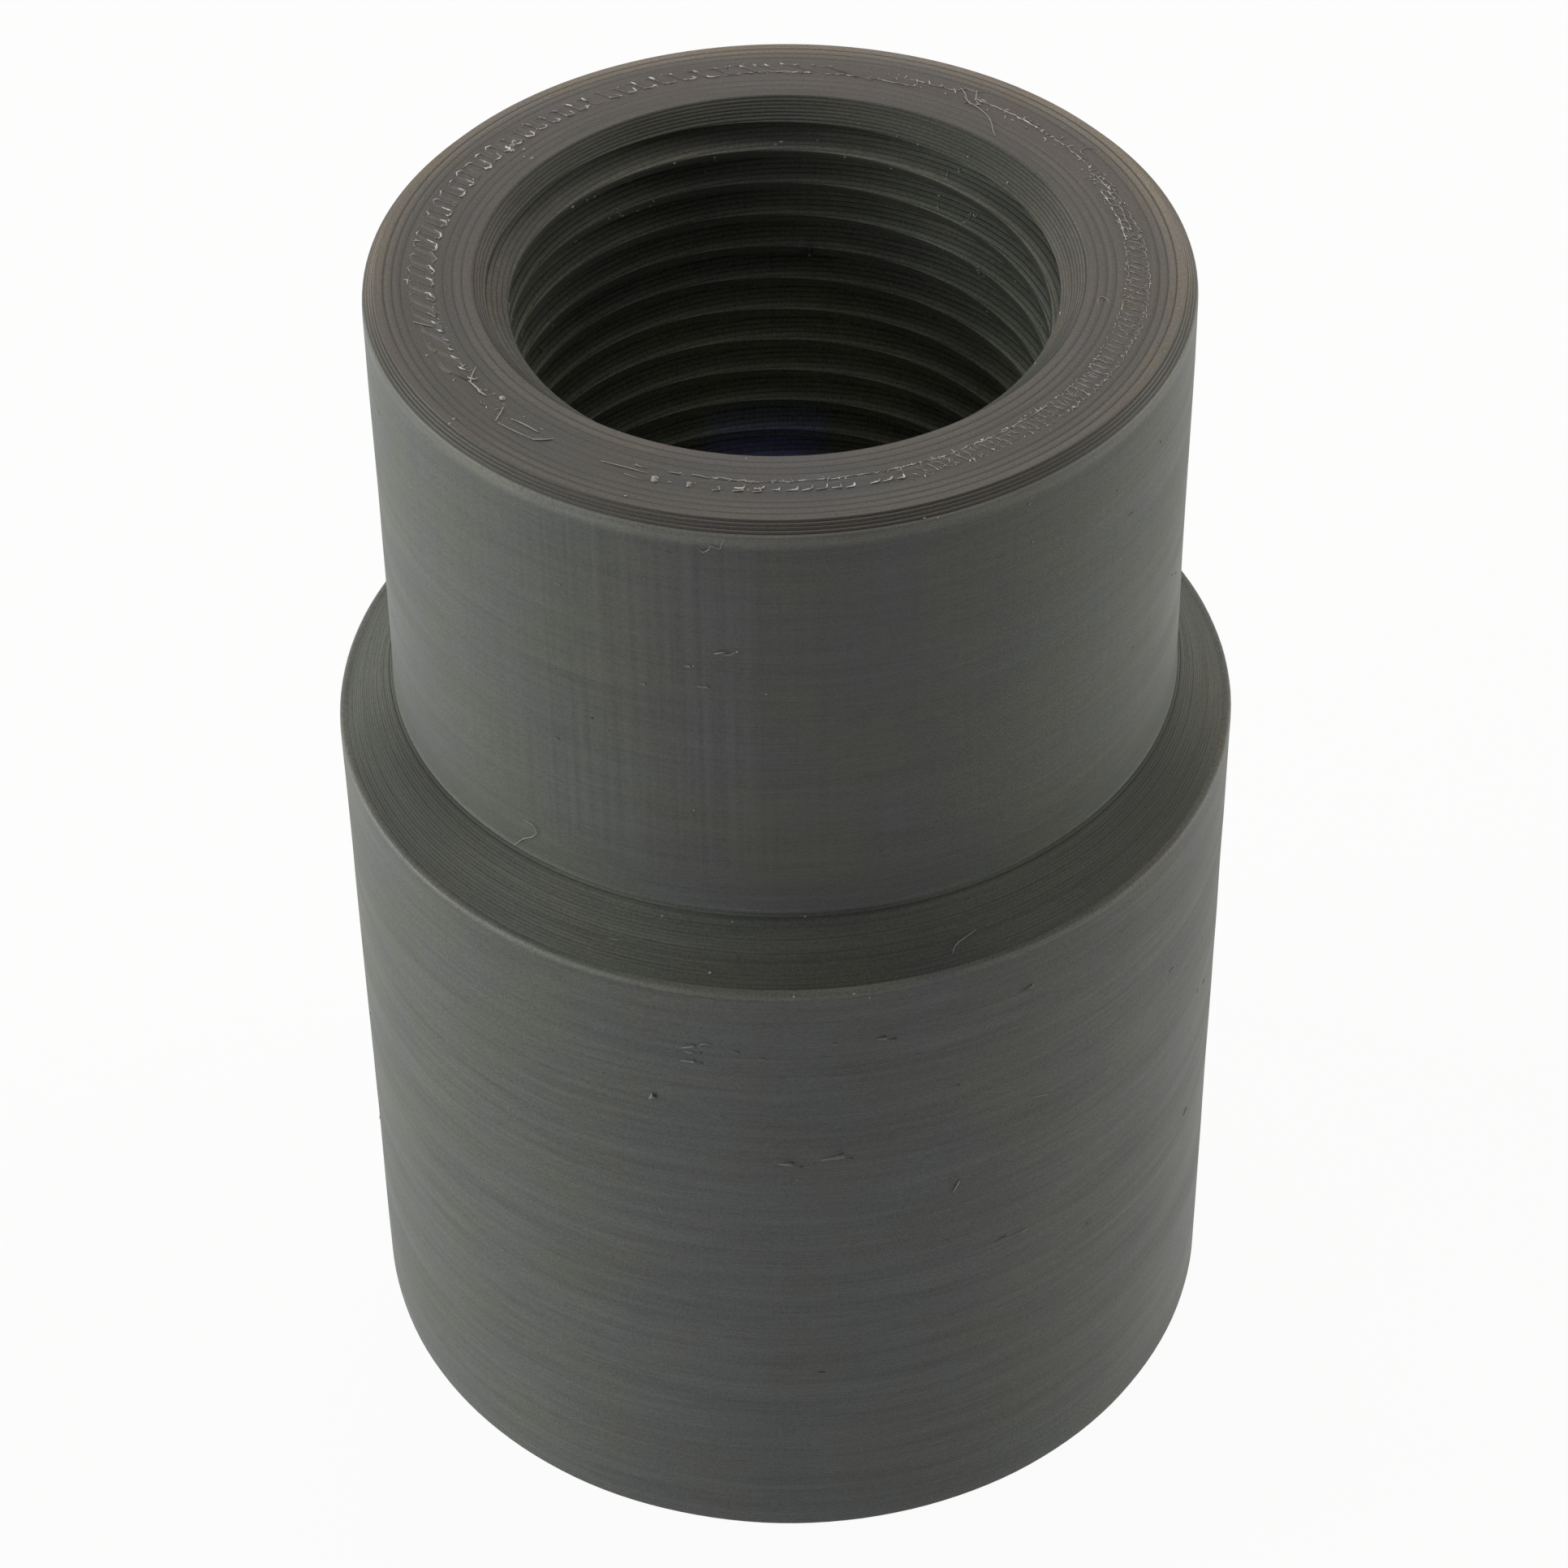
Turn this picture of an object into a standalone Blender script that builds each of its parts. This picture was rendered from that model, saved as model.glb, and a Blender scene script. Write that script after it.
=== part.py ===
"""A printed conduit adapter: a neck with an internal pipe thread, on a larger body with a socket for plain conduit.

Metres, +Z up. The origin is the centre of the bottom rim, and Z is the axis of the thread and the socket.
The part is one piece, shaped as a machinist would: a turned blank, then a tap run through it.
"""

import math

import bmesh
import bpy

# Thread: a parallel three-quarter inch pipe thread, 14 turns to the inch, right-handed
THREAD_MAJOR_DIAMETER = 0.02644
THREAD_PITCH = 0.001814
THREAD_HALF_ANGLE = math.radians(27.5)
THREAD_FLAT = 0.000302
THREAD_START = 0.00281
LEAD_IN_RELIEF = 0.00043

# Neck, which holds the thread
NECK_WALL = 0.00528
NECK_HEIGHT = 0.0217
RIM_CHAMFER = 0.00055

# Body, which holds the conduit
CONDUIT_DIAMETER = 0.032
CONDUIT_CLEARANCE = 0.00015
SOCKET_DEPTH = 0.032
SOCKET_CHAMFER = 0.0008
BODY_WALL = 0.0051

# Shoulder: a narrow ledge round the top of the body, then a slope up to the neck
SHOULDER_WALL = 0.00485
SHOULDER_LEDGE = 0.0004
SHOULDER_HEIGHT = 0.00265

# How finely the round shapes are divided
TURNING_STEPS = 96
THREAD_STEPS = 64

PLASTIC_COLOUR = (0.082, 0.080, 0.074, 1.0)
PLASTIC_ROUGHNESS = 0.5
SHARP_ANGLE = math.radians(25)
MERGE_DISTANCE = 0.00001

thread_depth = (THREAD_PITCH / 2 - THREAD_FLAT) / math.tan(THREAD_HALF_ANGLE)
major_radius = THREAD_MAJOR_DIAMETER / 2
minor_radius = major_radius - thread_depth
pilot_radius = minor_radius - thread_depth
mouth_radius = major_radius + LEAD_IN_RELIEF
neck_radius = major_radius + NECK_WALL
socket_radius = CONDUIT_DIAMETER / 2 + CONDUIT_CLEARANCE
body_radius = socket_radius + BODY_WALL

body_height = SOCKET_DEPTH + SHOULDER_WALL
neck_foot = body_height + SHOULDER_HEIGHT
top = neck_foot + NECK_HEIGHT
lead_in_floor = top - (mouth_radius - pilot_radius)
socket_ceiling = SOCKET_DEPTH + socket_radius - pilot_radius


def clear_scene():
    """Start from an empty scene."""
    for old in list(bpy.data.objects):
        bpy.data.objects.remove(old, do_unlink=True)


def new_collection(name):
    """A collection of its own in the scene."""
    collection = bpy.data.collections.new(name)
    bpy.context.scene.collection.children.link(collection)
    return collection


def plastic():
    """The dark grey printed plastic."""
    material = bpy.data.materials.new("printed_plastic")
    material.use_nodes = True
    shader = material.node_tree.nodes["Principled BSDF"]
    shader.inputs["Base Color"].default_value = PLASTIC_COLOUR
    shader.inputs["Roughness"].default_value = PLASTIC_ROUGHNESS
    shader.inputs["Metallic"].default_value = 0.0
    return material


def profile_object(name, points, collection):
    """An open profile in the XZ plane, given as (radius, height) points from its top to its bottom."""
    mesh = bpy.data.meshes.new(name)
    vertices = [(radius, 0.0, height) for radius, height in points]
    edges = [(i, i + 1) for i in range(len(points) - 1)]
    mesh.from_pydata(vertices, edges, [])
    obj = bpy.data.objects.new(name, mesh)
    collection.objects.link(obj)
    return obj


def turn(obj, steps, turns=1, pitch=0.0):
    """Spin a profile about Z with a Screw modifier, rising one pitch a turn."""
    screw = obj.modifiers.new("turning", "SCREW")
    screw.axis = "Z"
    screw.angle = math.tau
    screw.steps = steps
    screw.render_steps = steps
    screw.iterations = turns
    screw.screw_offset = pitch
    screw.use_smooth_shade = False
    screw.use_merge_vertices = pitch == 0.0
    screw.merge_threshold = MERGE_DISTANCE
    return screw


def turned_blank(collection):
    """The adapter before it is tapped: outer form, socket, and the recess that becomes the lead-in chamfer."""
    outline = [
        (0.0, lead_in_floor),
        (pilot_radius, lead_in_floor),
        (mouth_radius, top),
        (neck_radius - RIM_CHAMFER, top),
        (neck_radius, top - RIM_CHAMFER),
        (neck_radius, neck_foot),
        (body_radius - SHOULDER_LEDGE, body_height),
        (body_radius, body_height),
        (body_radius, 0.0),
        (socket_radius + SOCKET_CHAMFER, 0.0),
        (socket_radius, SOCKET_CHAMFER),
        (socket_radius, SOCKET_DEPTH),
        (pilot_radius, socket_ceiling),
        (0.0, socket_ceiling),
    ]
    blank = profile_object("adapter_body", outline, collection)
    turn(blank, TURNING_STEPS)
    return blank


def evaluated_mesh(obj):
    """The mesh that an object's modifiers give."""
    graph = bpy.context.evaluated_depsgraph_get()
    return bpy.data.meshes.new_from_object(obj.evaluated_get(graph))


def close_end(bm, edges, height):
    """Draw one open end of the tap in to a point on its axis."""
    drawn = bmesh.ops.extrude_edge_only(bm, edges=edges)["geom"]
    tip = [part for part in drawn if isinstance(part, bmesh.types.BMVert)]
    bmesh.ops.pointmerge(bm, verts=tip, merge_co=(0.0, 0.0, height))


def tap(collection):
    """The tap: a solid core with the thread's ridges round it, from inside the socket to above the mouth.

    Its top is a whole number of turns above the first crest, and both ends stand clear of the plastic.
    """
    tap_top = top - THREAD_START % THREAD_PITCH + 3 * THREAD_PITCH
    turns = math.ceil((tap_top - SOCKET_DEPTH) / THREAD_PITCH) + 1
    tap_bottom = tap_top - turns * THREAD_PITCH
    flank_height = THREAD_PITCH / 2 - THREAD_FLAT
    one_turn = [
        (minor_radius, THREAD_PITCH),
        (major_radius, THREAD_PITCH - flank_height),
        (major_radius, THREAD_PITCH - flank_height - THREAD_FLAT),
        (minor_radius, THREAD_FLAT),
        (minor_radius, 0.0),
    ]
    ridge = profile_object("thread_profile", [(r, z + tap_bottom) for r, z in one_turn], collection)
    turn(ridge, THREAD_STEPS, turns, THREAD_PITCH)

    bm = bmesh.new()
    bm.from_mesh(evaluated_mesh(ridge))
    bpy.data.objects.remove(ridge, do_unlink=True)
    bmesh.ops.remove_doubles(bm, verts=bm.verts, dist=MERGE_DISTANCE)
    open_edges = [edge for edge in bm.edges if edge.is_boundary]
    middle = (tap_top + tap_bottom) / 2
    close_end(bm, [edge for edge in open_edges if edge.verts[0].co.z < middle], tap_bottom)
    close_end(bm, [edge for edge in open_edges if edge.verts[0].co.z > middle], tap_top + THREAD_PITCH)
    bmesh.ops.triangulate(bm, faces=bm.faces)

    mesh = bpy.data.meshes.new("thread_tap")
    bm.to_mesh(mesh)
    bm.free()
    cutter = bpy.data.objects.new("thread_tap", mesh)
    cutter.hide_render = True
    cutter.display_type = "WIRE"
    collection.objects.link(cutter)
    return cutter


def cut(body, cutter):
    """Take the cutter's shape out of the body."""
    boolean = body.modifiers.new(cutter.name, "BOOLEAN")
    boolean.operation = "DIFFERENCE"
    boolean.solver = "EXACT"
    boolean.object = cutter


def finish(body):
    """Apply the body's modifiers, then shade its round walls smooth and keep its edges crisp."""
    mesh = evaluated_mesh(body)
    body.modifiers.clear()
    body.data = mesh
    mesh.name = body.name
    mesh.shade_smooth()
    mesh.set_sharp_from_angle(angle=SHARP_ANGLE)


def main():
    """Build the adapter."""
    clear_scene()
    adapter = new_collection("conduit_adapter")
    cutters = new_collection("cutters")
    body = turned_blank(adapter)
    cut(body, tap(cutters))
    finish(body)
    body.data.materials.clear()
    body.data.materials.append(plastic())


main()
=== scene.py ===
"""Looks of the printed conduit adapter: its turned and tapped skin, the fill on its top, and its small flaws.

Metres, +Z up, on the frame's own origin: the centre of the bottom rim, with Z the axis of thread and socket.
The skin stands for the CAD body and keeps its dimensions. It adds what the printer left: layer steps on the
slopes, bead lines on the flat faces, rounded thread crests, a zigzag of fill strands, and stray hairs.
"""

import math
import random

import bpy
from mathutils import Matrix, Vector


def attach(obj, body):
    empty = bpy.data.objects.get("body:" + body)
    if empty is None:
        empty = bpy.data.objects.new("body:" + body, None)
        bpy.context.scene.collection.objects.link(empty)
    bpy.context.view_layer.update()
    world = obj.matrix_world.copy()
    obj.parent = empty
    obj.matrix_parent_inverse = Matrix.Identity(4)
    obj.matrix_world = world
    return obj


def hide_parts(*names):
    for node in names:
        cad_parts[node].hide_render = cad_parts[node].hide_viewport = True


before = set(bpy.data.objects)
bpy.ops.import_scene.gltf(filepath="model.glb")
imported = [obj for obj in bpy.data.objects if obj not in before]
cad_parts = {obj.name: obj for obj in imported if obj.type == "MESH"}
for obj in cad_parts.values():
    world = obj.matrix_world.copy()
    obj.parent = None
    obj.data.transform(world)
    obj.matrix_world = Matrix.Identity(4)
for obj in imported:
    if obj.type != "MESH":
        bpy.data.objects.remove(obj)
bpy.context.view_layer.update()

MM = 0.001
MERGE_DISTANCE = 0.000004

# Turned form
MOUTH_RADIUS = 13.65 * MM
PILOT_RADIUS = 11.2 * MM
RIM_START = 17.9 * MM
NECK_RADIUS = 18.5 * MM
SOCKET_RADIUS = 16.15 * MM
SOCKET_DEPTH = 32 * MM
SOCKET_CHAMFER = 0.8 * MM
BODY_RADIUS = 21.25 * MM
BODY_HEIGHT = 36.85 * MM
NECK_FOOT = 39.5 * MM
TOP = 61.2 * MM
LEDGE = 0.4 * MM

# Thread: a parallel three-quarter inch pipe thread
PITCH = 1.814 * MM
MAJOR_RADIUS = 13.22 * MM
THREAD_FLAT = 0.302 * MM
THREAD_HALF_ANGLE = math.radians(27.5)
THREAD_START = 2.81 * MM
FLANK = PITCH / 2 - THREAD_FLAT
MINOR_RADIUS = MAJOR_RADIUS - FLANK / math.tan(THREAD_HALF_ANGLE)
CREST_SOFTNESS = 0.07 * MM
TAP_TOP = TOP - THREAD_START % PITCH + 3 * PITCH

# The printer's marks: layers on the walls, and beads with a groove between them on the flat faces
LAYER = 0.12 * MM
BEAD = 0.39 * MM
BEAD_GROOVE = 0.035 * MM
BEAD_EDGE = 0.06 * MM
BEAD_DROP = 0.006 * MM

# The nose of one printed layer: how far down its step, and how far out across it
LAYER_NOSE = ((0.08, 0.42), (0.4, 0.5), (0.75, 0.47), (0.96, 0.3))

# Rounded lips of the rim and the ledge: inwards from the wall and down, in millimetres
RIM_LIP = ((0.1, 0.005), (0.05, 0.05), (0.02, 0.14), (0.005, 0.26), (0.0, 0.4))
LEDGE_LIP = ((0.24, -0.004), (0.14, 0.01), (0.07, 0.05), (0.025, 0.12), (0.005, 0.22))

# Slow waves of the walls, which end below the top
WAVE_SIZE = 9 * MM
WAVE_HEIGHT = 0.08 * MM
WAVES_END = 60.3 * MM
WAVES_FADE = 3 * MM

# Fill strands between the two rings of walls on the top
FILL_INNER = 15.28 * MM
FILL_OUTER = 16.38 * MM
FILL_DEPTH = 0.022 * MM
STRAND_LEVEL = TOP - FILL_DEPTH
FILL_ANGLE = math.radians(145)
FILL_SPACING = 0.393 * MM
FILL_COUNT = 37

# How wide the top's beads are, inside the fill and outside it
INNER_BEAD = (FILL_INNER - MOUTH_RADIUS) / 4
OUTER_BEAD = (RIM_START - FILL_OUTER) / 4

TURNING_STEPS = 160
THREAD_STEPS = 128
SMOOTH_ANGLE = math.radians(40)


def deselect_all():
    """Leave nothing selected, so that an operator acts only on what is made next."""
    if bpy.context.object and bpy.context.object.mode != "OBJECT":
        bpy.ops.object.mode_set(mode="OBJECT")
    bpy.ops.object.select_all(action="DESELECT")


def choose(obj):
    """Make one object the selected and active one."""
    deselect_all()
    obj.select_set(True)
    bpy.context.view_layer.objects.active = obj


def with_settings(made, settings):
    """Give a new thing its settings."""
    for name, value in settings.items():
        setattr(made, name, value)
    return made


def modify(obj, name, kind, **settings):
    """Give an object a modifier with its settings, and apply it."""
    with_settings(obj.modifiers.new(name, kind), settings)
    choose(obj)
    bpy.ops.object.modifier_apply(modifier=name)


def drawn_profile(name, points):
    """A chain of edges in the XZ plane, drawn point by point from a plane merged to one vertex."""
    deselect_all()
    radius, height = points[0]
    bpy.ops.mesh.primitive_plane_add(size=MM, location=(0, 0, 0))
    obj = bpy.context.object
    obj.name = name
    bpy.ops.object.mode_set(mode="EDIT")
    bpy.ops.mesh.merge(type="CENTER")
    bpy.ops.transform.translate(value=(radius, 0, height))
    for after in points[1:]:
        step = (after[0] - radius, 0, after[1] - height)
        bpy.ops.mesh.extrude_vertices_move(TRANSFORM_OT_translate={"value": step})
        radius, height = after
    bpy.ops.object.mode_set(mode="OBJECT")
    return obj


def close_and_face_out(obj):
    """Merge what spinning left double and turn every face outwards."""
    choose(obj)
    bpy.ops.object.mode_set(mode="EDIT")
    bpy.ops.mesh.select_all(action="SELECT")
    bpy.ops.mesh.remove_doubles(threshold=MERGE_DISTANCE)
    bpy.ops.mesh.normals_make_consistent(inside=False)
    bpy.ops.object.mode_set(mode="OBJECT")


def turned(name, points):
    """Spin a drawn profile once round Z."""
    obj = drawn_profile(name, points)
    bpy.ops.object.mode_set(mode="EDIT")
    bpy.ops.mesh.select_all(action="SELECT")
    bpy.ops.mesh.spin(steps=TURNING_STEPS, angle=math.tau, center=(0, 0, 0), axis=(0, 0, 1))
    bpy.ops.object.mode_set(mode="OBJECT")
    close_and_face_out(obj)
    return obj


def bead_lines(inner, outer, height, up=1):
    """Points across a flat face from its inner radius to its outer one: beads, with grooves between them."""
    count = round((outer - inner) / BEAD)
    width = (outer - inner) / count
    points = []
    for i in range(count):
        left = inner + i * width
        points.append((left + BEAD_EDGE, height - up * BEAD_DROP))
        points.append((left + width / 2, height))
        points.append((left + width - BEAD_EDGE, height - up * BEAD_DROP))
        if i < count - 1:
            points.append((left + width, height - up * BEAD_GROOVE))
    return points


def stair(top_radius, top_height, bottom_radius, bottom_height, relief, chance):
    """Points down a slope that the printer made in layers, each with a rounded nose, some a little proud.

    Relief is how much of the full stair is left: 0 is the plain slope, 1 is square steps.
    """
    count = round((top_height - bottom_height) / LAYER)
    rise = (top_height - bottom_height) / count
    tread = (bottom_radius - top_radius) / count
    points = []
    for i in range(count):
        proud = chance.gauss(0, 0.006) * MM
        upper = top_height - i * rise
        middle = top_radius + (i + 0.5) * tread
        for down, out in LAYER_NOSE:
            on_slope = top_radius + (i + down) * tread
            on_stair = middle + (out - 0.4) * 0.3 * abs(tread)
            points.append((on_slope + (on_stair - on_slope) * relief + proud, upper - down * rise))
    return points


def straight_wall(radius, top_height, bottom_height, spacing):
    """Points down a straight wall, close enough together for it to be wavy."""
    count = max(1, round((top_height - bottom_height) / spacing))
    return [(radius, top_height - (top_height - bottom_height) * i / count) for i in range(count + 1)]


def lip(radius, height, steps):
    """Points of a rounded lip at the top of a wall."""
    return [(radius - inwards * MM, height - down * MM) for inwards, down in steps]


def blank_profile():
    """The blank's closed outline, from the mouth out, down the outside, in at the bottom and up the bore."""
    chance = random.Random(3)
    points = bead_lines(MOUTH_RADIUS, FILL_INNER, TOP)
    points.append((FILL_INNER + 0.03 * MM, STRAND_LEVEL))
    points.append((FILL_OUTER - 0.03 * MM, STRAND_LEVEL))
    points += bead_lines(FILL_OUTER, RIM_START, TOP)
    rim_foot = TOP - 4 * LAYER
    points += stair(RIM_START, TOP, 18.36 * MM, rim_foot, 0.5, chance)
    points += lip(NECK_RADIUS, rim_foot, RIM_LIP)
    points += straight_wall(NECK_RADIUS, rim_foot - 0.8 * MM, NECK_FOOT + 0.1 * MM, 0.8 * MM)
    points += stair(NECK_RADIUS, NECK_FOOT, BODY_RADIUS - LEDGE, BODY_HEIGHT, 0.28, chance)
    points += lip(BODY_RADIUS, BODY_HEIGHT, LEDGE_LIP)
    points += straight_wall(BODY_RADIUS, BODY_HEIGHT - 0.4 * MM, 0.12 * MM, 1.2 * MM)
    points.append((BODY_RADIUS - 0.03 * MM, 0.03 * MM))
    points += reversed(bead_lines(SOCKET_RADIUS + SOCKET_CHAMFER, BODY_RADIUS - 0.08 * MM, 0.0, up=-1))
    points += straight_wall(SOCKET_RADIUS, SOCKET_CHAMFER, SOCKET_DEPTH, 1.6 * MM)
    socket_top = SOCKET_DEPTH + SOCKET_RADIUS - PILOT_RADIUS
    points += reversed(stair(PILOT_RADIUS, socket_top, SOCKET_RADIUS, SOCKET_DEPTH, 0.5, chance))
    lead_in = stair(PILOT_RADIUS, TOP, MOUTH_RADIUS, TOP - MOUTH_RADIUS + PILOT_RADIUS, 0.25, chance)
    points += [(PILOT_RADIUS + MOUTH_RADIUS - radius, height) for radius, height in reversed(lead_in)]
    points.append(points[0])
    return points


def tap_profile():
    """One turn of the tap, upwards: ridge flanks and flats, with the part's crest rounded."""
    root = MINOR_RADIUS + CREST_SOFTNESS * 0.3
    low_flank = MINOR_RADIUS + CREST_SOFTNESS * 1.4
    along = CREST_SOFTNESS * 1.4 * math.tan(THREAD_HALF_ANGLE)
    return [
        (MINOR_RADIUS, 0.0),
        (MINOR_RADIUS, THREAD_FLAT - CREST_SOFTNESS),
        (root, THREAD_FLAT),
        (low_flank, THREAD_FLAT + along),
        (MAJOR_RADIUS, THREAD_FLAT + FLANK),
        (MAJOR_RADIUS, 2 * THREAD_FLAT + FLANK),
        (low_flank, PITCH - along),
        (root, PITCH),
        (MINOR_RADIUS, PITCH),
    ]


def select_open_edges(obj, above, middle):
    """Select the open edges of a mesh that lie above its middle, or those that lie below it."""
    uses = {}
    for face in obj.data.polygons:
        for key in face.edge_keys:
            uses[key] = uses.get(key, 0) + 1
    for edge in obj.data.edges:
        height = obj.data.vertices[edge.vertices[0]].co.z
        if uses.get(tuple(sorted(edge.vertices)), 0) == 1 and (height > middle) == above:
            edge.select = True


def tap():
    """The tap that cuts the thread: a ridge wound round the axis, with both ends drawn in to a point."""
    turns = math.ceil((TAP_TOP - SOCKET_DEPTH) / PITCH) + 1
    bottom = TAP_TOP - turns * PITCH
    obj = drawn_profile("thread_tap", [(radius, height + bottom) for radius, height in tap_profile()])
    modify(obj, "ridge", "SCREW", axis="Z", angle=math.tau, steps=THREAD_STEPS, render_steps=THREAD_STEPS,
           iterations=turns, screw_offset=PITCH, use_merge_vertices=False)
    bpy.ops.object.mode_set(mode="EDIT")
    bpy.ops.mesh.select_all(action="SELECT")
    bpy.ops.mesh.remove_doubles(threshold=MERGE_DISTANCE)
    for above in (False, True):
        bpy.ops.mesh.select_all(action="DESELECT")
        bpy.ops.object.mode_set(mode="OBJECT")
        select_open_edges(obj, above, (TAP_TOP + bottom) / 2)
        bpy.ops.object.mode_set(mode="EDIT")
        bpy.ops.mesh.select_mode(type="EDGE")
        tip = 4 * PITCH if above else -4 * PITCH
        bpy.ops.mesh.extrude_edges_move(TRANSFORM_OT_translate={"value": (0, 0, tip)})
        bpy.ops.mesh.merge(type="CENTER")
    bpy.ops.mesh.select_all(action="SELECT")
    bpy.ops.mesh.normals_make_consistent(inside=False)
    bpy.ops.object.mode_set(mode="OBJECT")
    return obj


def make_skin():
    """The adapter's whole skin: the turned blank, tapped, with its walls made slightly wavy."""
    body = turned("adapter_skin", blank_profile())
    cutter = tap()
    modify(body, "tapping", "BOOLEAN", operation="DIFFERENCE", solver="EXACT", object=cutter)
    bpy.data.objects.remove(cutter, do_unlink=True)
    walls = body.vertex_groups.new(name="walls")
    for vertex in body.data.vertices:
        share = (WAVES_END - vertex.co.z) / WAVES_FADE
        walls.add([vertex.index], min(1.0, max(0.0, share)), "REPLACE")
    waves = bpy.data.textures.new("slow_waves", "CLOUDS")
    waves.noise_scale = WAVE_SIZE
    modify(body, "waviness", "DISPLACE", texture=waves, texture_coords="LOCAL", strength=WAVE_HEIGHT,
           vertex_group="walls", mid_level=0.5)
    choose(body)
    bpy.ops.object.shade_smooth_by_angle(angle=SMOOTH_ANGLE)
    return body


def at(bearing, radius, height=TOP):
    """A point on the adapter, by its bearing from +X in degrees, its radius and its height."""
    turn = math.radians(bearing)
    return Vector((radius * math.cos(turn), radius * math.sin(turn), height))


def node(tree, kind, **settings):
    """A new node with its settings."""
    return with_settings(tree.nodes.new(kind), settings)


def feed(tree, socket, source):
    """Give an input socket something that varies, or a plain number, place or colour."""
    if isinstance(source, Value):
        tree.links.new(source.socket, socket)
    elif socket.type == "RGBA":
        socket.default_value = (*source, 1.0)
    else:
        socket.default_value = source


class Value:
    """Something that varies over a surface: one output in a node tree. Its arithmetic makes Math nodes."""

    def __init__(self, tree, socket):
        self.tree = tree
        self.socket = socket

    def math(self, operation, other=0.0):
        """The result of a Math node on this value and another."""
        made = node(self.tree, "ShaderNodeMath", operation=operation)
        feed(self.tree, made.inputs[0], self)
        feed(self.tree, made.inputs[1], other)
        return Value(self.tree, made.outputs[0])

    def __add__(self, other):
        return self.math("ADD", other)

    def __sub__(self, other):
        return self.math("SUBTRACT", other)

    def __mul__(self, other):
        return self.math("MULTIPLY", other)

    def __truediv__(self, other):
        return self.math("DIVIDE", other)

    def ramp(self, low, high, out_low=0.0, out_high=1.0):
        """A smooth change from one number to another as the value goes from low to high."""
        made = node(self.tree, "ShaderNodeMapRange", interpolation_type="SMOOTHSTEP")
        for socket, source in zip(made.inputs, (self, low, high, out_low, out_high)):
            feed(self.tree, socket, source)
        return Value(self.tree, made.outputs["Result"])

    def fade(self, low, high):
        """1 up to a low number, then smoothly down to 0 at a high one."""
        return self.ramp(low, high, 1.0, 0.0)


def blend(tree, share, first, second, mode="MIX"):
    """Two colours mixed."""
    made = node(tree, "ShaderNodeMix", data_type="RGBA", blend_type=mode)
    feed(tree, made.inputs["Factor"], share)
    feed(tree, made.inputs["A"], first)
    feed(tree, made.inputs["B"], second)
    return Value(tree, made.outputs["Result"])


def joined(tree, x, y, z):
    """Three values as one vector."""
    made = node(tree, "ShaderNodeCombineXYZ")
    for socket, source in zip(made.inputs, (x, y, z)):
        feed(tree, socket, source)
    return Value(tree, made.outputs[0])


def shaded(tree, colour, brightness):
    """A colour made lighter or darker by a value."""
    return blend(tree, 1.0, colour, joined(tree, brightness, brightness, brightness), "MULTIPLY")


def noise(tree, place, scale, detail=2.0, roughness=0.5):
    """Noise, as a value from about 0 to 1."""
    made = node(tree, "ShaderNodeTexNoise")
    feed(tree, made.inputs["Vector"], place)
    for label, number in (("Scale", scale), ("Detail", detail), ("Roughness", roughness)):
        made.inputs[label].default_value = number
    return Value(tree, made.outputs[0])


def new_group(name, inputs, outputs):
    """An empty node group with named sockets. Gives it, its inputs, and a function that feeds its outputs."""
    group = bpy.data.node_groups.new(name, "ShaderNodeTree")
    for direction, sockets in (("INPUT", inputs), ("OUTPUT", outputs)):
        for label, kind in sockets.items():
            group.interface.new_socket(label, in_out=direction, socket_type="NodeSocket" + kind)
    given = node(group, "NodeGroupInput")
    result = node(group, "NodeGroupOutput")

    def put_out(**values):
        for label, value in values.items():
            feed(group, result.inputs[label], value)

    return group, {label: Value(group, given.outputs[label]) for label in inputs}, put_out


def use_group(tree, group, **values):
    """A group placed in a material, with its inputs set or linked. Gives its outputs."""
    placed = node(tree, "ShaderNodeGroup", node_tree=group)
    for label, value in values.items():
        feed(tree, placed.inputs[label], value)
    return {socket.name: Value(tree, socket) for socket in placed.outputs}


def parts_of(tree, vector):
    """The three parts of a vector."""
    split = node(tree, "ShaderNodeSeparateXYZ")
    feed(tree, split.inputs[0], vector)
    return [Value(tree, socket) for socket in split.outputs]


def round_and_along(tree, place):
    """A place on a turned shape: its direction round the axis (two values), distance from it, and height."""
    x, y, z = parts_of(tree, place)
    radius = (x * x + y * y).math("SQRT").math("MAXIMUM", 1 * MM)
    return x / radius, y / radius, radius, z


def layer_lines_group():
    """The fine lines of printed layers: a height, round over each layer, with a groove between two."""
    group, given, put_out = new_group(
        "layer_lines", {"Place": "Vector", "Spacing": "Float", "Wander": "Float"},
        {"Height": "Float", "Groove": "Float"})
    across, beside, radius, height = round_and_along(group, given["Place"])
    drift = (noise(group, joined(group, across, beside, height * 900.0), 1.6) - 0.5) * given["Wander"]
    middle = ((height / given["Spacing"] + drift).math("FRACT") - 0.5).math("ABSOLUTE")
    groove = (middle * 2.0).math("POWER", 4.0)
    put_out(Groove=groove, Height=groove * -1.0 + 1.0)
    return group


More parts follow.
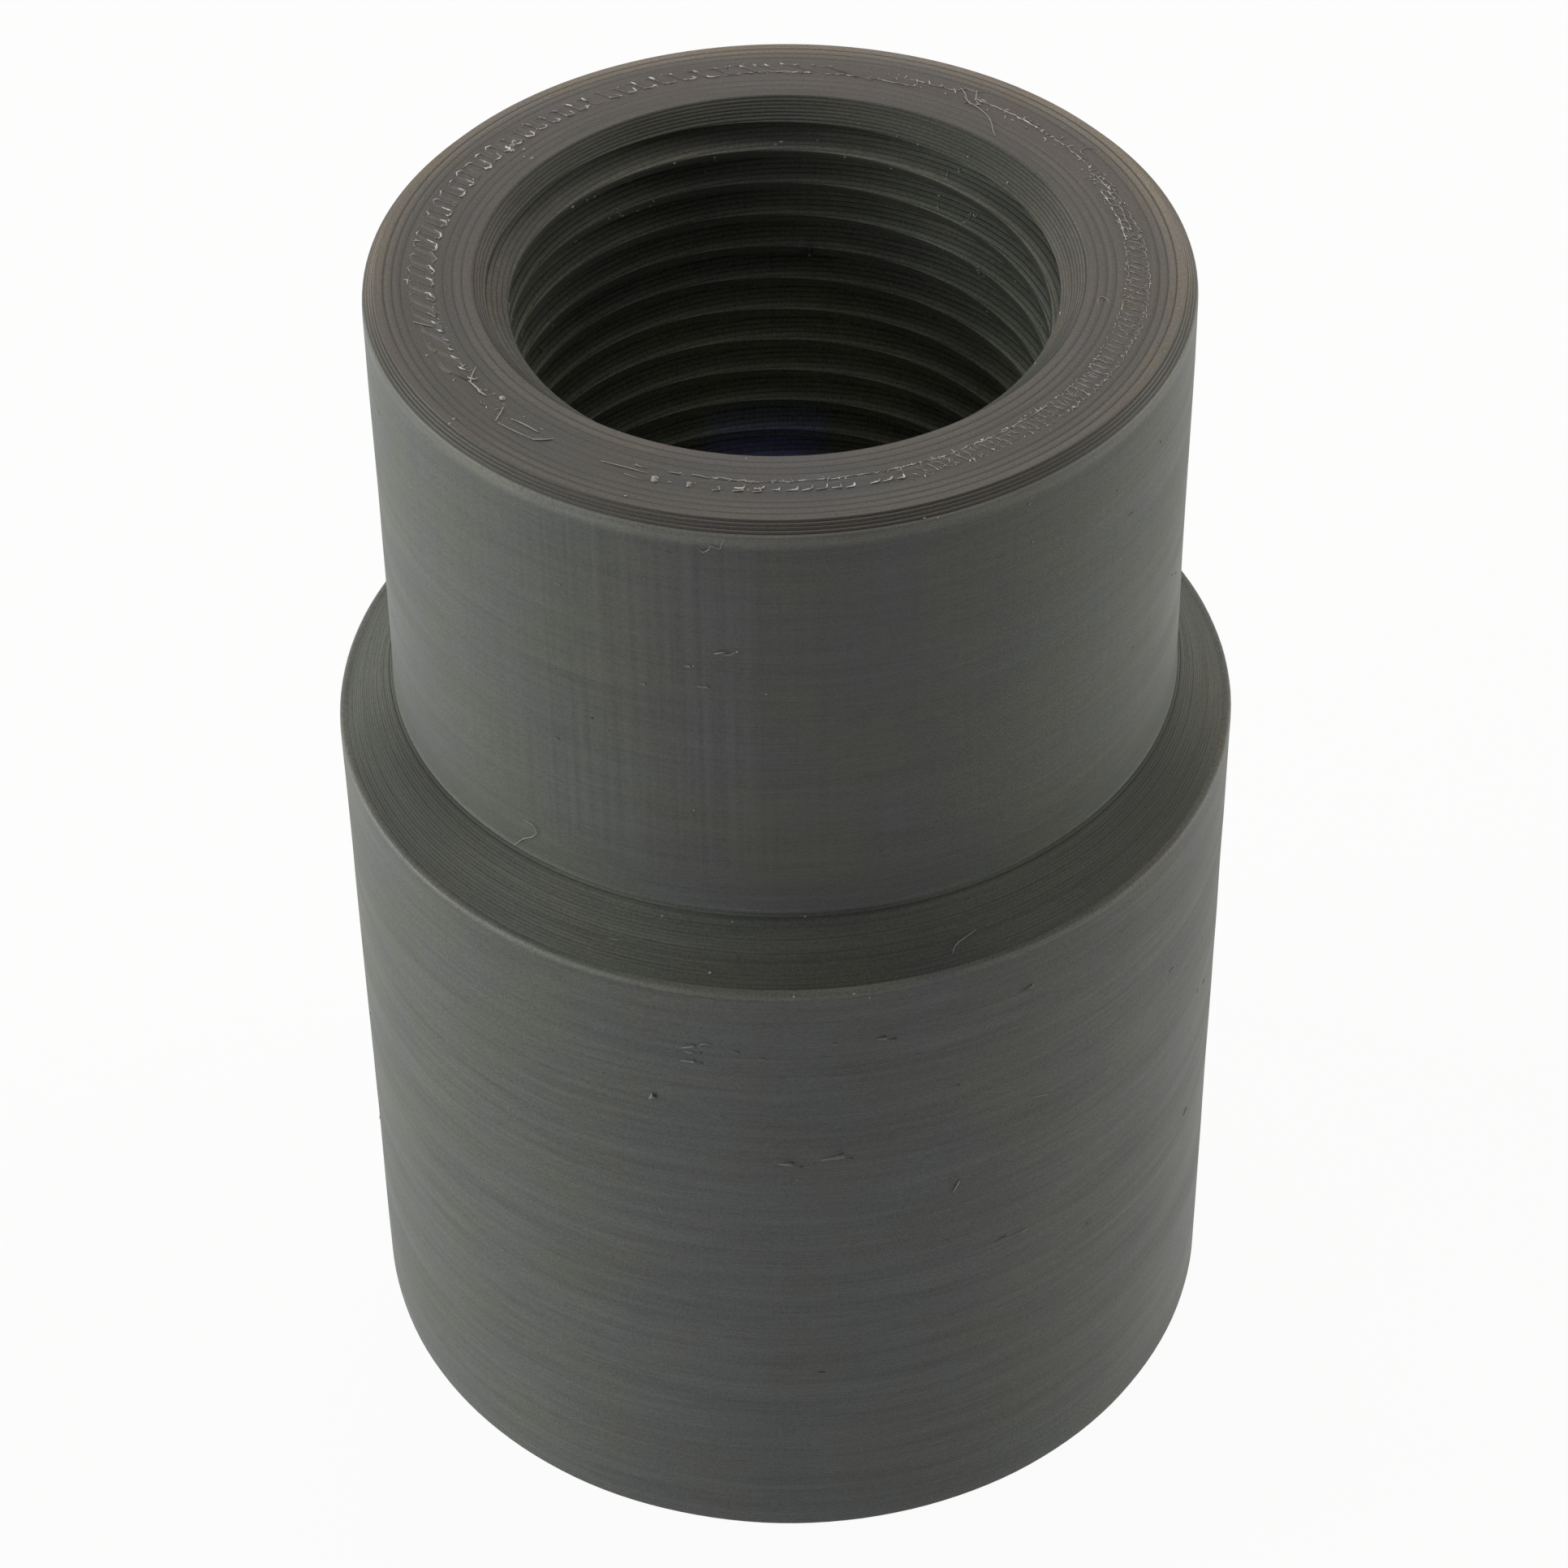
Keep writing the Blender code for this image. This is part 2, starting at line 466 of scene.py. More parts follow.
def print_tone_group():
    """How a printed colour varies: streaks along the beads, wide soft patches, faint bands up the walls."""
    group, given, put_out = new_group(
        "print_tone", {"Place": "Vector", "Colour": "Color", "Contrast": "Float", "Flat": "Float"},
        {"Colour": "Color", "Roughness": "Float", "Grain": "Float"})
    across, beside, radius, height = round_and_along(group, given["Place"])
    along = height * (given["Flat"] * -1.0 + 1.0) + radius * given["Flat"]
    fine, streak = [
        noise(group, joined(group, across * 2.6, beside * 2.6, along * lines), 1.0, 3.0, roughness)
        for lines, roughness in ((5200.0, 0.65), (1500.0, 0.6))]
    wide = noise(group, joined(group, across, beside, along * 420.0), 1.5)
    bands = noise(group, joined(group, across * 64.0, beside * 64.0, height * 50.0), 1.0)
    on_neck = height.ramp(40 * MM, 43 * MM) * height.fade(60 * MM, 60.5 * MM)
    towards_bands = across * -0.326 + beside * -0.946
    bands = (bands - 0.5) * (towards_bands.ramp(0.93, 0.99, 0.5, 1.7) * on_neck)
    patches = noise(group, given["Place"], 260.0)
    grain = noise(group, given["Place"], 8500.0, 2.0, 0.7)
    calm = (on_neck * -0.45 + 1.0) * across.math("ABSOLUTE").ramp(0.6, 0.95, 1.0, 0.6)
    streak = (streak - 0.5) * calm
    tone = (fine - 0.5) * 1.3 + streak * 1.3 + (wide - 0.5) * 0.3 + bands + (grain - 0.5) * 2.4
    toned = shaded(group, given["Colour"], tone * given["Contrast"] + 1.0)
    cool = blend(group, 1.0, toned, (0.975, 0.992, 1.06), "MULTIPLY")
    warm = blend(group, 1.0, toned, (1.015, 1.006, 0.965), "MULTIPLY")
    put_out(Colour=blend(group, patches.ramp(0.35, 0.65), cool, warm),
            Roughness=wide.ramp(0.3, 0.7, 0.47, 0.56), Grain=grain * 0.5 + streak * 3.0 + fine * 1.5)
    return group


# The plastic's colour, by place, with light and shade painted into many of these tones
WALL = (0.080, 0.0855, 0.0755)
NECK_FRONT = (0.081, 0.0845, 0.0790)
BODY_FRONT = (0.081, 0.0865, 0.0840)
# The top: painted light at its back, painted shade at its front, cooler painted shade in front of the mouth,
# and the ring by the mouth lighter in front than at its back
COOL_TOP_SHADE = (0.0650, 0.0668, 0.0672)
TOP_FRONT_SHADE = (0.0683, 0.0683, 0.0590)
TOP_BACK_LIGHT = (0.089, 0.0815, 0.0715)
MOUTH_FRONT_LIGHT = (0.092, 0.0845, 0.0755)
MOUTH_BACK_SHADE = (0.074, 0.0705, 0.062)
# Painted highlight on the rounded outer edge of the top, much stronger at the back
EDGE_FRONT_HIGHLIGHT = (0.085, 0.080, 0.067)
EDGE_BACK_HIGHLIGHT = (0.210, 0.186, 0.148)
# Steps of the rim: painted light at the back, painted shade in front and darker painted shade at the sides
STEP_BACK_LIGHT = (0.172, 0.152, 0.125)
STEP_FRONT_SHADE = (0.054, 0.051, 0.043)
STEP_SIDE_SHADE = (0.043, 0.041, 0.0345)
# Painted highlight on the ledge at the top of the body
LEDGE_HIGHLIGHT = (0.138, 0.142, 0.128)
# Painted highlight on the rounded lip at the top of the neck wall, weaker on the left
LIP = (0.145, 0.148, 0.130)
LIP_LEFT = (0.110, 0.112, 0.101)
# Painted shade on the shoulder, much darker towards its sides
SHOULDER_SHADE = (0.0755, 0.0790, 0.0670)
SHOULDER_SIDE_SHADE = (0.0325, 0.0340, 0.0290)
# Lead-in, with painted light on its left and right sides
LEAD_IN = (0.066, 0.069, 0.059)
LEAD_IN_SIDE_LIGHT = (0.100, 0.096, 0.086)
# Bore: painted light, lighter deeper down as if lit from below, and a painted blue light low at its back
UPPER_BORE = (0.072, 0.075, 0.064)
MIDDLE_BORE_LIGHT = (0.140, 0.148, 0.118)
DEEP_BORE_LIGHT = (0.290, 0.305, 0.235)
BLUE_BORE_LIGHT = (0.33, 0.36, 0.66)

# How level a face is, from where it starts to count as flat to where it is flat
FLAT = (0.93, 0.985)

# Soft spots of painted shade, which stand for dents, in the body, and one in the bore: bearing in degrees,
# radius, height and size in millimetres, and how dark the middle is
SOFT_SHADE_SPOTS = [
    (229.6, 21.25, 23.85, 0.50, 0.24), (312.2, 21.25, 15.79, 0.56, 0.40), (237.0, 21.25, 25.17, 0.34, 0.15),
    (83.4, 12.1, 53.43, 0.62, 0.85), (83.1, 12.3, 53.95, 0.40, 0.40),
]


def place_colour_group():
    """The plastic's colour by where it is on the adapter, with light and shade painted into it, and masks for
    its slopes and its thread.

    Radii and heights are in millimetres here. Beside is -1 at the front and 1 at the back, and across is -1
    at the left and 1 at the right.
    """
    group, given, put_out = new_group(
        "place_colour", {"Place": "Vector", "Level": "Float"},
        {"Colour": "Color", "Top": "Float", "Slope": "Float", "Inside": "Float", "Neck": "Float",
         "Dull": "Float"})
    across, beside, radius, height = round_and_along(group, given["Place"])
    radius = radius / MM
    height = height / MM
    aside = across.math("ABSOLUTE")

    def mix(share, first, second):
        return blend(group, share, first, second)

    # Walls, and the top with painted light at its back and painted shade at its front, another tone by the
    # mouth with painted light in front and painted shade at the back, and a cooler painted shade in front of
    # it
    backward = (across * 0.259 + beside * 0.966).ramp(-0.95, 0.95)
    top = given["Level"].ramp(*FLAT) * height.ramp(60.6, 61.0)
    front = mix(height.ramp(36.5, 40.0), BODY_FRONT, NECK_FRONT)
    outer_top = mix(backward, TOP_FRONT_SHADE, TOP_BACK_LIGHT)
    top_colour = mix(radius.fade(14.2, 14.7), outer_top, mix(backward, MOUTH_FRONT_LIGHT, MOUTH_BACK_SHADE))
    cool = beside.fade(-1.0, -0.93) * radius.fade(15.8, 16.8) * radius.ramp(14.0, 14.6, 0.3, 1.0)
    colour = mix(top, mix(beside.fade(-1.0, -0.84), WALL, front), mix(cool, top_colour, COOL_TOP_SHADE))

    # Painted light and shade on the edge of the top, its steps and lip, the shoulder and its ledge, the bore
    # and its lead-in
    steps = height.ramp(60.66, 60.74) * radius.ramp(17.88, 17.96)
    step_front_shade = mix(aside.ramp(0.3, 0.7), STEP_FRONT_SHADE, STEP_SIDE_SHADE)
    lip = height.ramp(59.9, 60.4) * height.fade(60.68, 60.76) * radius.ramp(18.3, 18.4)
    shoulder = radius.ramp(18.52, 18.6) * height.fade(39.4, 39.5) * height.ramp(36.78, 36.84)
    shoulder_side_shade = mix(beside.ramp(-0.45, 0.0), SHOULDER_SIDE_SHADE, SHOULDER_SHADE)
    inside = radius.fade(13.58, 13.66) * height.ramp(32.0, 33.0)
    # Painted light deep in the bore, and a painted blue light low at its back
    bore_light_from_below = mix(height.ramp(47.5, 53.5), DEEP_BORE_LIGHT, MIDDLE_BORE_LIGHT)
    blue_light = height.fade(41.2, 45.2) * (across * -0.06 + beside).ramp(0.955, 1.0)
    bore = mix(blue_light, mix(height.ramp(53.5, 59.5), bore_light_from_below, UPPER_BORE), BLUE_BORE_LIGHT)
    lead_in = inside * height.ramp(59.6, 60.0)
    for mask, over in (
        # Painted highlight on the top's outer edge, strongest at the back
        (top * radius.ramp(16.6, 17.8), mix(backward, EDGE_FRONT_HIGHLIGHT, EDGE_BACK_HIGHLIGHT)),
        # Rim steps: painted light at the back, painted shade in front and at the sides
        (steps, mix(beside.ramp(-0.45, 0.25), step_front_shade, STEP_BACK_LIGHT)),
        # Painted highlight on the lip, weaker on the left
        (lip, mix(across.ramp(-0.95, -0.6), LIP_LEFT, LIP)),
        # Painted shade on the shoulder, darker towards its sides
        (shoulder, mix(beside.ramp(-0.95, -0.50), SHOULDER_SHADE, shoulder_side_shade)),
        # Painted highlight on the ledge
        (radius.ramp(20.8, 20.9) * height.ramp(36.5, 36.7), LEDGE_HIGHLIGHT),
        # Bore, with its painted light from below
        (inside, bore),
        # Lead-in, with painted light at its sides
        (lead_in, mix(aside.ramp(0.86, 0.99), LEAD_IN, LEAD_IN_SIDE_LIGHT)),
    ):
        colour = mix(mask, colour, over)

    # Painted shade in the lines between the layers of the shoulder and the lead-in, and at the foot of the
    # neck
    lines = noise(group, joined(group, 0.0, 0.0, height * 7.0), 1.0, 1.0)
    lined = shoulder.math("MAXIMUM", lead_in * 0.13) * height.ramp(38.8, 39.4, 0.55, 0.62)
    neck_foot_shade = shoulder * height.ramp(39.0, 39.3) * -0.08 + 1.0
    colour = shaded(group, colour, lines.fade(0.34, 0.52) * lined * -0.6 + neck_foot_shade)

    # Thread: painted highlight on its flanks next to the crests, painted shade on the crests, painted light
    # at the roots, and painted shade on its sides
    thread = inside * height.fade(59.4, 59.8)
    crest = radius.fade(12.1, 12.6) * 0.85 + radius.fade(12.08, 12.13) * -1.46 + 1.05
    hollow = (crest + radius.ramp(12.7, 13.1) * 0.35 - 1.0) * thread + 1.0
    thread_side_shade = inside * height.ramp(51.0, 53.5) * aside.ramp(0.55, 0.85) * thread
    colour = shaded(group, colour, hollow * (thread_side_shade * -0.36 + 1.0))

    # Painted light on the sides of the neck and on the right of the top, and soft spots of painted shade
    on_neck_wall = height.ramp(39.7, 40.2) * height.fade(59.4, 60.0) * radius.ramp(18.3, 18.4)
    light = across.ramp(0.6, 1.0) * height.ramp(60.6, 61.0) * 0.14 + 1.0
    light = light + aside.ramp(0.5, 0.9) * on_neck_wall * 0.055
    for bearing, spot_radius, spot_height, size, depth in SOFT_SHADE_SPOTS:
        distance = node(group, "ShaderNodeVectorMath", operation="DISTANCE")
        feed(group, distance.inputs[0], given["Place"])
        distance.inputs[1].default_value = at(bearing, spot_radius * MM, spot_height * MM)
        distance = Value(group, distance.outputs["Value"])
        light = light * distance.ramp(-0.4 * size * MM, size * MM, 1.0 - depth, 1.0)
    put_out(Colour=shaded(group, colour, light), Top=top, Inside=inside, Dull=shoulder * 0.8 + inside,
            Slope=given["Level"].ramp(0.3, 0.6) * (inside * -1.0 + 1.0),
            Neck=height.ramp(39.5, 39.6) * radius.ramp(18.3, 18.4))
    return group


def new_material(name, glossiness):
    """A material with its tree and its shader. Glossiness is its specular level."""
    material = bpy.data.materials.new(name)
    material.use_nodes = True
    tree = material.node_tree
    shader = tree.nodes["Principled BSDF"]
    shader.inputs["Specular IOR Level"].default_value = glossiness
    return material, tree, shader


def place_in(tree):
    """Where a shaded point lies on its piece."""
    return Value(tree, node(tree, "ShaderNodeTexCoord").outputs["Object"])


def dress(tree, shader, colour, roughness, relief, strength):
    """Feed a shader its colour, its roughness, and a relief through a Bump node."""
    bump = node(tree, "ShaderNodeBump")
    bump.inputs["Strength"].default_value = strength
    bump.inputs["Distance"].default_value = 0.02 * MM
    feed(tree, bump.inputs["Height"], relief)
    feed(tree, shader.inputs["Base Color"], colour)
    feed(tree, shader.inputs["Roughness"], roughness)
    tree.links.new(bump.outputs[0], shader.inputs["Normal"])


def skin_material(layer_lines, print_tone, place_colour):
    """Satin dark grey plastic: layer lines up the walls, streaks along the beads, bead lines on the top."""
    material, tree, shader = new_material("layered_plastic", 0.35)
    place = place_in(tree)
    normal = Value(tree, node(tree, "ShaderNodeNewGeometry").outputs["Normal"])
    level = parts_of(tree, normal)[2].math("ABSOLUTE")
    flat = level.ramp(*FLAT)
    local = use_group(tree, place_colour, Place=place, Level=level)
    contrast = local["Top"] * -0.10 + local["Neck"] * -0.16 + 0.60
    tone = use_group(tree, print_tone, Place=place, Colour=local["Colour"], Contrast=contrast, Flat=flat)
    lines = use_group(tree, layer_lines, Place=place, Spacing=LAYER, Wander=local["Inside"] * -0.95 + 1.2)
    on_walls = (local["Slope"] * -0.8 + (flat * -1.0 + 1.0)).math("MAXIMUM", 0.0).math("MINIMUM", 1.0)
    strength = on_walls + local["Inside"] * 2.3

    across, beside, radius, height = round_and_along(tree, place)
    inner_lines = radius - MOUTH_RADIUS
    outer_lines = (radius - FILL_OUTER) * (INNER_BEAD / OUTER_BEAD)
    across_top = (outer_lines - inner_lines) * radius.math("GREATER_THAN", FILL_OUTER) + inner_lines
    bead_place = joined(tree, across, beside, across_top)
    beads = use_group(tree, layer_lines, Place=bead_place, Spacing=INNER_BEAD, Wander=0.25)
    # Painted shade in the grooves between the layers, and in the grooves between the top's beads, stronger at
    # the front
    top_groove_shade = height.ramp(61.08 * MM, 61.13 * MM) * beads["Groove"] * beside.ramp(-0.95, -0.3, 0.32, 0.10)
    shade = (lines["Groove"] * strength * -0.13 + 1.0) * (top_groove_shade * -1.0 + 1.0)
    dress(tree, shader, shaded(tree, tone["Colour"], shade), local["Dull"] * 0.28 + tone["Roughness"],
          tone["Grain"] * 0.6 + lines["Height"] * strength, 0.6)
    return material


def strand_material(name, colour, print_tone, dull=None):
    """Strands of plastic of one colour, or of one that fades here and there to a duller one."""
    material, tree, shader = new_material(name, 0.4)
    place = place_in(tree)
    if dull:
        colour = blend(tree, noise(tree, place, 2600.0, 1.0).ramp(0.40, 0.60), dull, colour)
    tone = use_group(tree, print_tone, Place=place, Colour=colour, Contrast=0.5, Flat=1.0)
    dress(tree, shader, tone["Colour"], tone["Roughness"], tone["Grain"], 0.4)
    return material


def soft_strands(name, paths, squash=1.0, level=0.0):
    """Round strands of plastic along paths of (point, thickness), as one mesh, squashed towards a level."""
    deselect_all()
    curve = bpy.data.curves.new(name, "CURVE")
    curve.dimensions = "3D"
    curve.bevel_depth = 1.0
    curve.bevel_resolution = 1
    curve.use_fill_caps = True
    for path in paths:
        spline = curve.splines.new("POLY")
        spline.points.add(len(path) - 1)
        for point, (place, thickness) in zip(spline.points, path):
            point.co = (*place, 1.0)
            point.radius = thickness
    strands = bpy.data.objects.new(name, curve)
    bpy.context.scene.collection.objects.link(strands)
    choose(strands)
    bpy.ops.object.convert(target="MESH")
    strands = bpy.context.object
    strands.name = name
    bpy.ops.object.mode_set(mode="EDIT")
    bpy.ops.mesh.select_all(action="SELECT")
    bpy.ops.mesh.remove_doubles(threshold=MERGE_DISTANCE / 4)
    bpy.ops.mesh.normals_make_consistent(inside=False)
    if squash != 1.0:
        bpy.ops.transform.resize(value=(1, 1, squash), center_override=(0, 0, level))
    bpy.ops.object.mode_set(mode="OBJECT")
    bpy.ops.object.shade_smooth()
    return strands


# Where the fill starts and ends: bearing in degrees, inner radius, outer radius in millimetres
FILL_REACH = [
    (0, 15.40, 16.25), (15, 15.50, 16.10), (30, 15.70, 16.10), (60, 15.80, 16.15), (80, 15.52, 16.20),
    (120, 15.60, 16.34), (145, 15.50, 16.36), (165, 15.42, 16.38), (186, 15.38, 16.38), (200, 15.35, 16.20),
    (230, 15.40, 15.90), (245, 15.34, 15.84), (265, 15.35, 15.92), (287, 15.35, 16.02), (316, 15.30, 16.26),
    (345, 15.27, 16.36), (360, 15.40, 16.25),
]

# How the pale ends look: from one bearing to the next, whether every line has them or only every turn, then
# the inner mark and the outer one, each by its shape, length and thickness in millimetres
FILL_MARKS = [
    (0, 24, "line", ("dash", 0.30, 0.017), ("arch", 0.06, 0.016)),
    (24, 66, "turn", ("dash", 0.20, 0.012), ("dash", 0.16, 0.018)),
    (66, 100, "line", ("dash", 0.20, 0.034), ("tick", 0.26, 0.058)),
    (100, 141, "turn", ("arch", 0.22, 0.046), ("tick", 0.34, 0.064)),
    (141, 166, "turn", ("hook", 0.44, 0.054), ("arch", 0.10, 0.030)),
    (166, 186, "turn", ("hook", 0.40, 0.042), ("arch", 0.10, 0.024)),
    (186, 212, "line", ("tick", 0.40, 0.049), ("dash", 0.06, 0.016)),
    (212, 232, "line", ("tick", 0.24, 0.032), ("dash", 0.06, 0.018)),
    (257, 287, "line", ("dash", 0.44, 0.018), ("kick", 0.46, 0.047)),
    (287, 316, "line", ("dash", 0.48, 0.020), ("tick", 0.22, 0.020)),
    (316, 332, "line", ("dash", 0.34, 0.017), ("arch", 0.10, 0.014)),
    (332, 360, "line", ("dash", 0.32, 0.017), ("arch", 0.10, 0.016)),
]

# Thin broken lines along the ring: from one bearing to the next, radius and thickness in millimetres
RAGGED_RINGS = [
    (27, 38, 15.98, 0.020), (39, 56, 15.96, 0.026), (59, 68, 16.05, 0.020), (6, 21, 15.52, 0.024),
    (9, 26, 15.86, 0.016), (258, 286, 15.36, 0.020), (287, 300, 15.36, 0.014), (301, 317, 15.34, 0.013),
    (66, 82, 15.52, 0.022), (84, 99, 15.56, 0.022),
]


def fill_edges(bearing):
    """Where the fill starts and ends at a bearing."""
    for before, after in zip(FILL_REACH, FILL_REACH[1:]):
        if before[0] <= bearing <= after[0]:
            share = (bearing - before[0]) / (after[0] - before[0])
            return [(near + (far - near) * share) * MM for near, far in zip(before[1:], after[1:])]


def bearing_of(place):
    """The bearing of a place from +X, in degrees from 0 to 360."""
    return math.degrees(math.atan2(place.y, place.x)) % 360


def jitter(chance, size):
    """A small random step across the top."""
    return Vector((chance.gauss(0, size), chance.gauss(0, size), 0)) * MM


def fill_line(side, count, chance):
    """Both ends of one fill line on one side of the axis, from the inner edge to the outer one."""
    along = Vector((math.cos(FILL_ANGLE), math.sin(FILL_ANGLE), 0)) * side
    across = Vector((-along.y, along.x, 0))
    offset = count * FILL_SPACING
    middle = along * math.sqrt((FILL_INNER + 0.5 * MM) ** 2 - offset ** 2) + across * offset
    shift = jitter(chance, 0.03)
    return [along * math.sqrt(max(radius ** 2 - offset ** 2, 0)) + across * offset + shift
            for radius in fill_edges(bearing_of(middle))]


def turn_mark(shape, length, thickness, last, inward, first, onward, chance):
    """The pale mark where the strand turns back, from the last place of one line to the first of the next.

    It is an arch, a hook, a tick along the strand, or a dash or a kick along the ring.
    """
    even = shape == "kick"
    middle = (last + first) / 2
    tip = middle - (inward + onward) * 0.05 * MM
    ring = (first - last).normalized()
    reach = length * (chance.uniform(0.8, 1.2) if even else chance.uniform(0.5, 1.3)) * MM
    start = last + inward * reach
    half_way = last + inward * reach * 0.5
    to_axis = at(bearing_of(-middle), 1.0, 0.0)
    places = {
        "tick": [start, half_way, last],
        "dash": [middle - ring * reach / 2, middle, middle + ring * reach / 2],
        "kick": [middle - ring * reach * 0.6, middle - ring * reach * 0.1,
                 middle + (ring * 0.2 + to_axis * 0.1) * reach,
                 middle + (ring * 0.32 + to_axis * 0.5) * reach],
        "arch": [start, last, tip, first, first + onward * reach * chance.uniform(0.1, 0.8)],
        "hook": [start, half_way, last, tip, first, first + onward * reach * 0.15],
    }[shape]
    path = []
    for place in places:
        moved = place + jitter(chance, 0.018 if even else 0.032) + Vector((0, 0, TOP + 0.004 * MM))
        width = thickness * MM * chance.uniform(0.8 if even else 0.55, 1.25)
        path.append((moved, width * (0.45 if place in (places[0], places[-1]) else 1.0)))
    return smooth_path(path) if even else path


def fleck(bearing, radius, lengths, spread, sizes, chance):
    """A short stroke along the ring on the top, of random length and size, that leans a little across it."""
    length = chance.uniform(*lengths)
    lean = chance.gauss(0, spread)
    size = chance.uniform(*sizes)
    return [(at(bearing + side * length / 2, (radius + side * lean) * MM, TOP + 0.006 * MM),
             size * MM * (1.0 if side == 0 else 0.4)) for side in (-1, 0, 1)]


def ragged_ring(start, stop, radius, thickness, chance):
    """A thin broken line of plastic along the ring."""
    path = []
    bearing = start
    while bearing < stop:
        path.append((at(bearing, (radius + chance.gauss(0, 0.035)) * MM, TOP + 0.004 * MM),
                     thickness * chance.uniform(0.4, 1.5) * MM))
        bearing += chance.uniform(0.4, 1.4)
    return path


def dark_runs(lines, chance):
    """The dark strand that joins line to line, broken off where the top layer covers it."""
    runs = [[]]
    for i, (inner, outer) in enumerate(lines):
        bearing = bearing_of((inner + outer) / 2)
        on_left = 66 < bearing < 212
        if on_left or bearing > 322 or bearing < 24:
            width = 0.14 if on_left else 0.07
            for end in (inner, outer) if i % 2 == 0 else (outer, inner):
                place = end + jitter(chance, 0.04) + Vector((0, 0, STRAND_LEVEL))
                runs[-1].append((place, width * chance.uniform(0.6, 1.1) * MM))
        elif runs[-1]:
            runs.append([])
    return [run for run in runs if run]


def thin_threads(inner, outer, chance):
    """Three thin threads over one fill line."""
    threads = []
    for _ in range(3):
        near = inner.lerp(outer, chance.uniform(0.0, 0.45)) + jitter(chance, 0.05)
        far = inner.lerp(outer, chance.uniform(0.55, 1.0)) + jitter(chance, 0.03)
        size = chance.uniform(0.005, 0.013) * MM
        threads.append([
            (place + Vector((0, 0, TOP + 0.003 * MM)), size * share)
            for place, share in ((near, 0.5), (near.lerp(far, 0.5), 1.0), (far, 0.5))])
    return threads


def pale_marks(lines, chance):
    """The bright marks at the ends of the fill's lines, and the softer ones of the right half."""
    pale = []
    soft = []
    for i, (line, after) in enumerate(zip(lines, lines[1:])):
        bearing = bearing_of((line[0] + line[1]) / 2)
        if bearing > 290 or bearing < 26:
            soft += thin_threads(*line, chance)
            for end in line:
                if chance.random() < 0.6:
                    beside = bearing_of(end) + chance.gauss(0, 0.2)
                    radius = end.length / MM + chance.gauss(0, 0.05)
                    pale.append(fleck(beside, radius, (0.12, 0.4), 0.06, (0.018, 0.034), chance))
        outwards = (line[1] - line[0]).normalized()
        onwards = (after[1] - after[0]).normalized()
        for low, high, where, *marks in FILL_MARKS:
            for end, way, kind in (
                (1, -1, soft if bearing > 287 or bearing < 26 else pale),
                (0, 1, soft if bearing > 316 and i % 3 else pale),
            ):
                marked = where == "line" or i % 2 != end
                if low <= bearing < high and marked and chance.random() > 0.08:
                    kind.append(turn_mark(*marks[end], line[end], outwards * way, after[end], onwards * way,
                                          chance))
    return pale, soft


def make_fill():
    """The fill on the top: dark strands in the trough between the walls, pale marks where they turn."""
    chance = random.Random(11)
    dark = []
    pale = []
    soft = []
    for side in (1, -1):
        lines = [fill_line(side, count, chance) for count in range(-FILL_COUNT, FILL_COUNT + 1)]
        dark += dark_runs(lines, chance)
        bright_marks, soft_marks = pale_marks(lines, chance)
        pale += bright_marks
        soft += soft_marks
    for ring in RAGGED_RINGS:
        pale.append(ragged_ring(*ring, chance))
    for _ in range(90):
        bearing = chance.uniform(2, 66)
        radius = chance.choice((15.6, 15.98, 15.98, 16.14)) + chance.gauss(0, 0.06)
        pale.append(fleck(bearing, radius, (0.2, 0.9), 0.08, (0.014, 0.04), chance))
    for _ in range(150):
        bearing = chance.uniform(286, 386)
        radius = chance.uniform(15.35, 16.25)
        soft.append(fleck(bearing, radius, (0.1, 0.9), 0.12, (0.007, 0.018), chance))
    for _ in range(60):
        bearing = chance.uniform(288, 386)
        radius = chance.choice((15.38, 15.4, 15.7, 16.2)) + chance.gauss(0, 0.07)
        pale.append(fleck(bearing, radius, (0.1, 0.5), 0.08, (0.008, 0.020), chance))
    for _ in range(200):
        bearing = chance.uniform(66, 360)
        inner, outer = fill_edges(bearing)
        edge = chance.choice((inner, inner, outer)) / MM
        if not 232 < bearing < 244:
            radius = edge + chance.gauss(0, 0.07)
            pale.append(fleck(bearing, radius, (0.1, 0.6), 0.07, (0.010, 0.030), chance))
    strands = soft_strands("fill_strands", dark, squash=0.10, level=STRAND_LEVEL)
    loops = soft_strands("fill_loops", pale, squash=0.7, level=TOP)
    threads = soft_strands("fill_threads", soft, squash=0.7, level=TOP)
    return strands, loops, threads


def bore_radius(bearing, height):
    """The radius of the threaded bore, or of its lead-in, at a bearing in degrees and a height."""
    along = (height - TAP_TOP - PITCH * bearing / 360) % PITCH
    from_root = max(0.0, abs(along - (1.5 * THREAD_FLAT + FLANK)) - THREAD_FLAT / 2)
    radius = max(MINOR_RADIUS, MAJOR_RADIUS - from_root / math.tan(THREAD_HALF_ANGLE))
    return max(radius, MOUTH_RADIUS - (TOP - height))


def smooth_path(path):
    """A path of (place, thickness) made rounder: three more points between each two."""
    if len(path) < 3:
        return path
    rounder = []
    for i in range(len(path) - 1):
        before, start, end, after = (path[min(max(i + step, 0), len(path) - 1)] for step in (-1, 0, 1, 2))
        for share in (0.0, 0.25, 0.5, 0.75):
            place = 0.5 * (2 * start[0] + (end[0] - before[0]) * share
                           + (2 * before[0] - 5 * start[0] + 4 * end[0] - after[0]) * share ** 2
                           + (3 * start[0] - before[0] - 3 * end[0] + after[0]) * share ** 3)
            rounder.append((place, start[1] + (end[1] - start[1]) * share))
    return rounder + [path[-1]]


